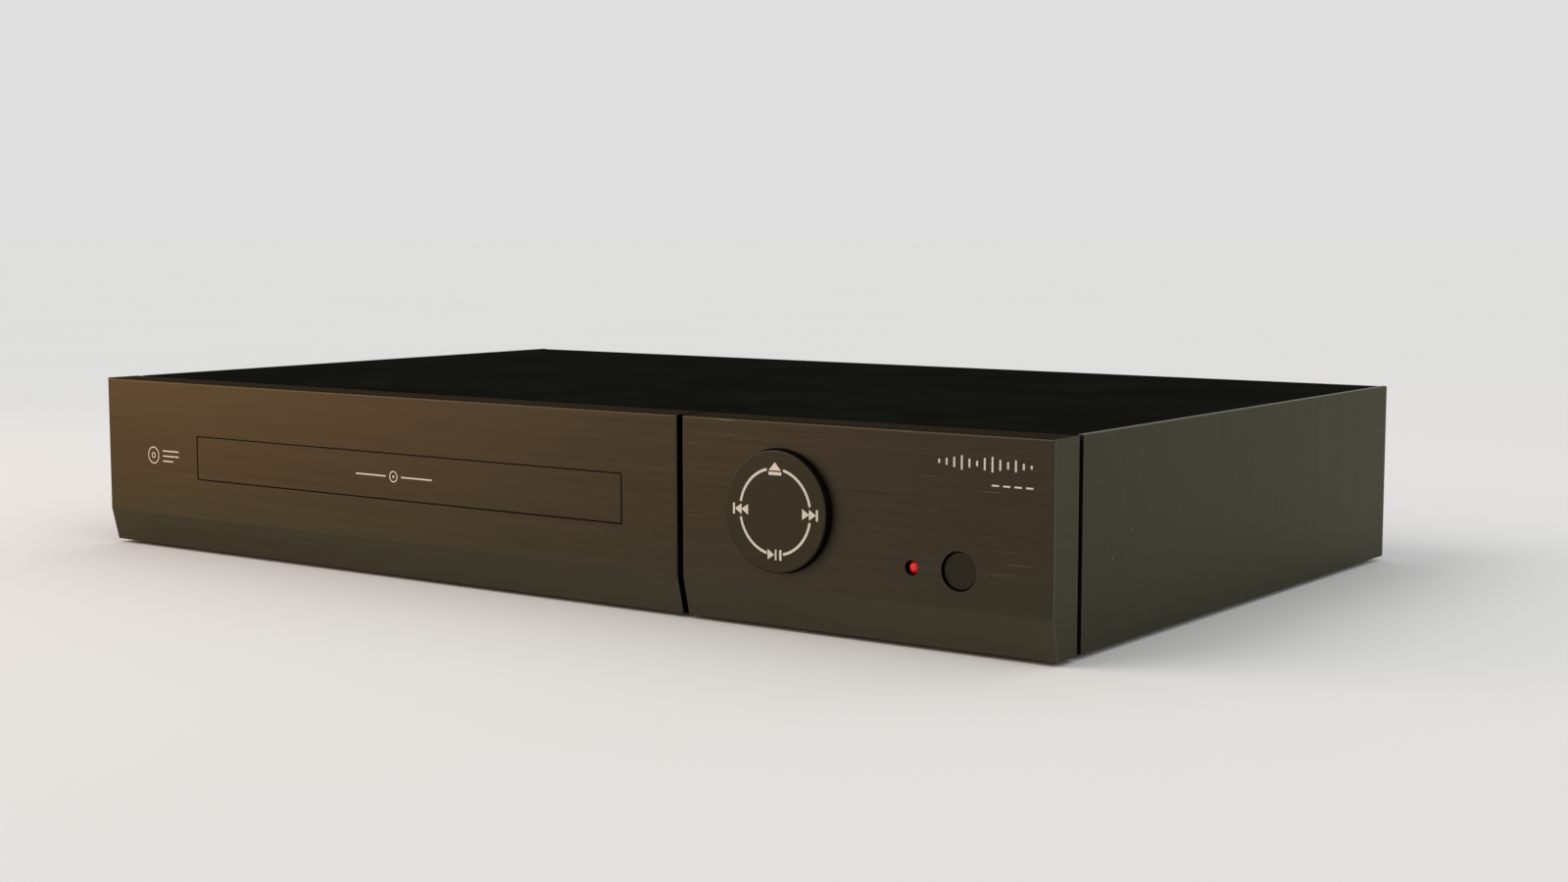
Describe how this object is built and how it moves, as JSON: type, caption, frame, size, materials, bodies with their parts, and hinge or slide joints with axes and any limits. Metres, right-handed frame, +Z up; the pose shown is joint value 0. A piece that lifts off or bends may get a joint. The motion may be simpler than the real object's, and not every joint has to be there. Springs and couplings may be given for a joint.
{
  "type": "disc player",
  "caption": "Full-width disc player with a motor-driven disc tray behind a flush door, a rocking four-way pad, a recessed power button and a lamp in a split, brushed metal front.",
  "frame": {"origin": "centre of the player's footprint, on the plane under its feet; the footprint runs from the control pad's face to the ends of the rear sockets", "axes": "+X to the right seen from the front, +Y to the rear, +Z up"},
  "size_m": [0.43, 0.2654, 0.0665],
  "materials": {
    "plated_sheet": "zinc-plated steel sheet, satin with a faint spangle",
    "foot_rubber": "matt moulded rubber",
    "brushed_side": "dark grey anodised, fine upright brushing",
    "black_cover": "black powder coat, fine texture",
    "rear_sheet": "black coated steel sheet, low sheen",
    "black_moulding": "black moulded plastic, fine spark texture",
    "brushed_front": "dark bronze-grey anodised, long level brushing, satin",
    "control_face": "dark bronze-grey anodised, fine satin",
    "red_lens": "clear red moulded lens",
    "board_green": "solder mask over glass laminate",
    "board_brown": "phenolic paper laminate",
    "switch_black": "moulded switch body",
    "screw_steel": "zinc-plated screw",
    "screw_black": "black oxide screw",
    "ribbon_white": "white flat cable",
    "tray_plastic": "charcoal moulded plastic, fine spark texture",
    "gear_plastic": "natural acetal, low sheen",
    "belt_rubber": "ground rubber belt",
    "motor_steel": "drawn steel can",
    "deck_plastic": "glass-filled moulding",
    "armature_core": "steel laminations with enamelled copper winding",
    "rod_steel": "ground steel rod",
    "turntable_plastic": "moulded hub with a rubber ring",
    "cast_metal": "die-cast sled",
    "lens_glass": "coated aspheric lens",
    "chip_black": "moulded package",
    "capacitor_sleeve": "dark shrink sleeve",
    "ferrite_core": "ferrite core and taped winding",
    "bare_aluminium": "extruded aluminium",
    "pin_brass": "plated brass pins",
    "jack_nickel": "nickel-plated sleeve",
    "jack_core": "coloured moulded insulator"
  },
  "bodies": {
    "cabinet": {"base_pan": "plated_sheet", "feet": "foot_rubber", "side_panel_left": "brushed_side", "side_panel_right": "brushed_side", "top_cover": "black_cover", "rear_panel": "rear_sheet", "front_subframe": "black_moulding", "front_panel_left": "brushed_front", "front_panel_right": "brushed_front", "power_led": "red_lens", "led_spacer": "black_moulding", "key_board": "board_green", "key_switches": "switch_black", "key_board_screws": "screw_steel", "fascia_screws": "screw_steel", "key_ribbon": "ribbon_white", "loader_frame": "black_moulding", "drive_belt": "belt_rubber", "loading_motor": "motor_steel", "clamper_bridge": "plated_sheet", "loader_screws": "screw_steel", "cover_screws": "screw_black", "board_screws": "screw_steel", "main_board": "board_green", "power_board": "board_brown", "board_chips": "chip_black", "board_capacitors": "capacitor_sleeve", "power_transformer": "ferrite_core", "filter_capacitors": "capacitor_sleeve", "heat_sink": "bare_aluminium", "mains_inlet": "black_moulding", "inlet_pins": "pin_brass", "jack_block": "black_moulding", "jack_sleeves": "jack_nickel", "jack_cores": "jack_core"},
    "tray": {"disc_tray": "tray_plastic", "tray_door": "brushed_front"},
    "drive_gear": {"drive_gear": "gear_plastic"},
    "pulley_gear": {"pulley_gear": "gear_plastic"},
    "motor_pulley": {"motor_pulley": "gear_plastic", "loading_rotor": "armature_core"},
    "cam_slider": {"cam_slider": "gear_plastic"},
    "deck": {"traverse_deck": "deck_plastic", "guide_rods": "rod_steel", "spindle_motor": "armature_core", "sled_motor": "motor_steel"},
    "turntable": {"turntable": "turntable_plastic", "spindle_bell": "motor_steel"},
    "lead_screw": {"lead_screw": "rod_steel"},
    "pickup": {"optical_pickup": "cast_metal", "objective_lens": "lens_glass"},
    "puck": {"clamper_puck": "black_moulding"},
    "gimbal": {"pad_gimbal": "black_moulding"},
    "pad": {"control_pad": "control_face"},
    "power_button": {"power_button": "control_face"}
  },
  "joints": [
    {"name": "tray_slide", "type": "slide", "parent": "cabinet", "child": "tray", "axis": [0, -1, 0], "range_m": [0, 0.142]},
    {"name": "drive_gear_spin", "type": "hinge", "parent": "cabinet", "child": "drive_gear", "pos_m": [-0.1028, -0.09485, 0.014], "axis": [0, 0, 1], "range_deg": [0, 814.1]},
    {"name": "pulley_gear_spin", "type": "hinge", "parent": "cabinet", "child": "pulley_gear", "pos_m": [-0.0824, -0.09485, 0.019], "axis": [0, 0, 1], "range_deg": [-1953.14, 0]},
    {"name": "motor_spin", "type": "hinge", "parent": "cabinet", "child": "motor_pulley", "pos_m": [-0.0237, -0.09485, 0.019], "axis": [0, 0, 1], "range_deg": [-6650.8, 0]},
    {"name": "deck_lift", "type": "hinge", "parent": "cabinet", "child": "deck", "pos_m": [-0.0537, 0.03515, 0.0245], "axis": [1, 0, 0], "range_deg": [0, 4]},
    {"name": "cam_slide", "type": "slide", "parent": "cabinet", "child": "cam_slider", "axis": [1, 0, 0], "range_m": [0, 0.01401]},
    {"name": "turntable_spin", "type": "hinge", "parent": "deck", "child": "turntable", "pos_m": [-0.0537, -0.05185, 0.04], "axis": [0, 0, 1], "continuous": true},
    {"name": "puck_spin", "type": "hinge", "parent": "cabinet", "child": "puck", "pos_m": [-0.0537, -0.05185, 0.0473], "axis": [0, 0, 1], "continuous": true},
    {"name": "pickup_slide", "type": "slide", "parent": "deck", "child": "pickup", "axis": [0, 1, 0], "range_m": [0, 0.034]},
    {"name": "lead_screw_spin", "type": "hinge", "parent": "deck", "child": "lead_screw", "pos_m": [-0.0267, -0.04135, 0.0235], "axis": [0, 1, 0], "range_deg": [0, 4080.5]},
    {"name": "pad_rock_sideways", "type": "hinge", "parent": "cabinet", "child": "gimbal", "pos_m": [0.11805, -0.12625, 0.0385], "axis": [0, 0, 1], "range_deg": [-2, 2], "stiffness_Nm_per_rad": 0.6},
    {"name": "pad_rock_upright", "type": "hinge", "parent": "gimbal", "child": "pad", "pos_m": [0.11805, -0.12625, 0.0385], "axis": [1, 0, 0], "range_deg": [-2, 2], "stiffness_Nm_per_rad": 0.6},
    {"name": "power_press", "type": "slide", "parent": "cabinet", "child": "power_button", "axis": [0, 1, 0], "range_m": [0, 0.001], "stiffness_N_per_m": 1500}
  ],
  "couplings": [
    {"joint": "drive_gear_spin", "follows": "tray_slide", "rad_per_m": 100},
    {"joint": "pulley_gear_spin", "follows": "tray_slide", "rad_per_m": -240},
    {"joint": "motor_spin", "follows": "tray_slide", "rad_per_m": -817.39},
    {"joint": "cam_slide", "follows": "deck_lift", "m_per_rad": 0.20053},
    {"joint": "puck_spin", "follows": "turntable_spin", "ratio": 1},
    {"joint": "lead_screw_spin", "follows": "pickup_slide", "rad_per_m": 2094.4}
  ]
}
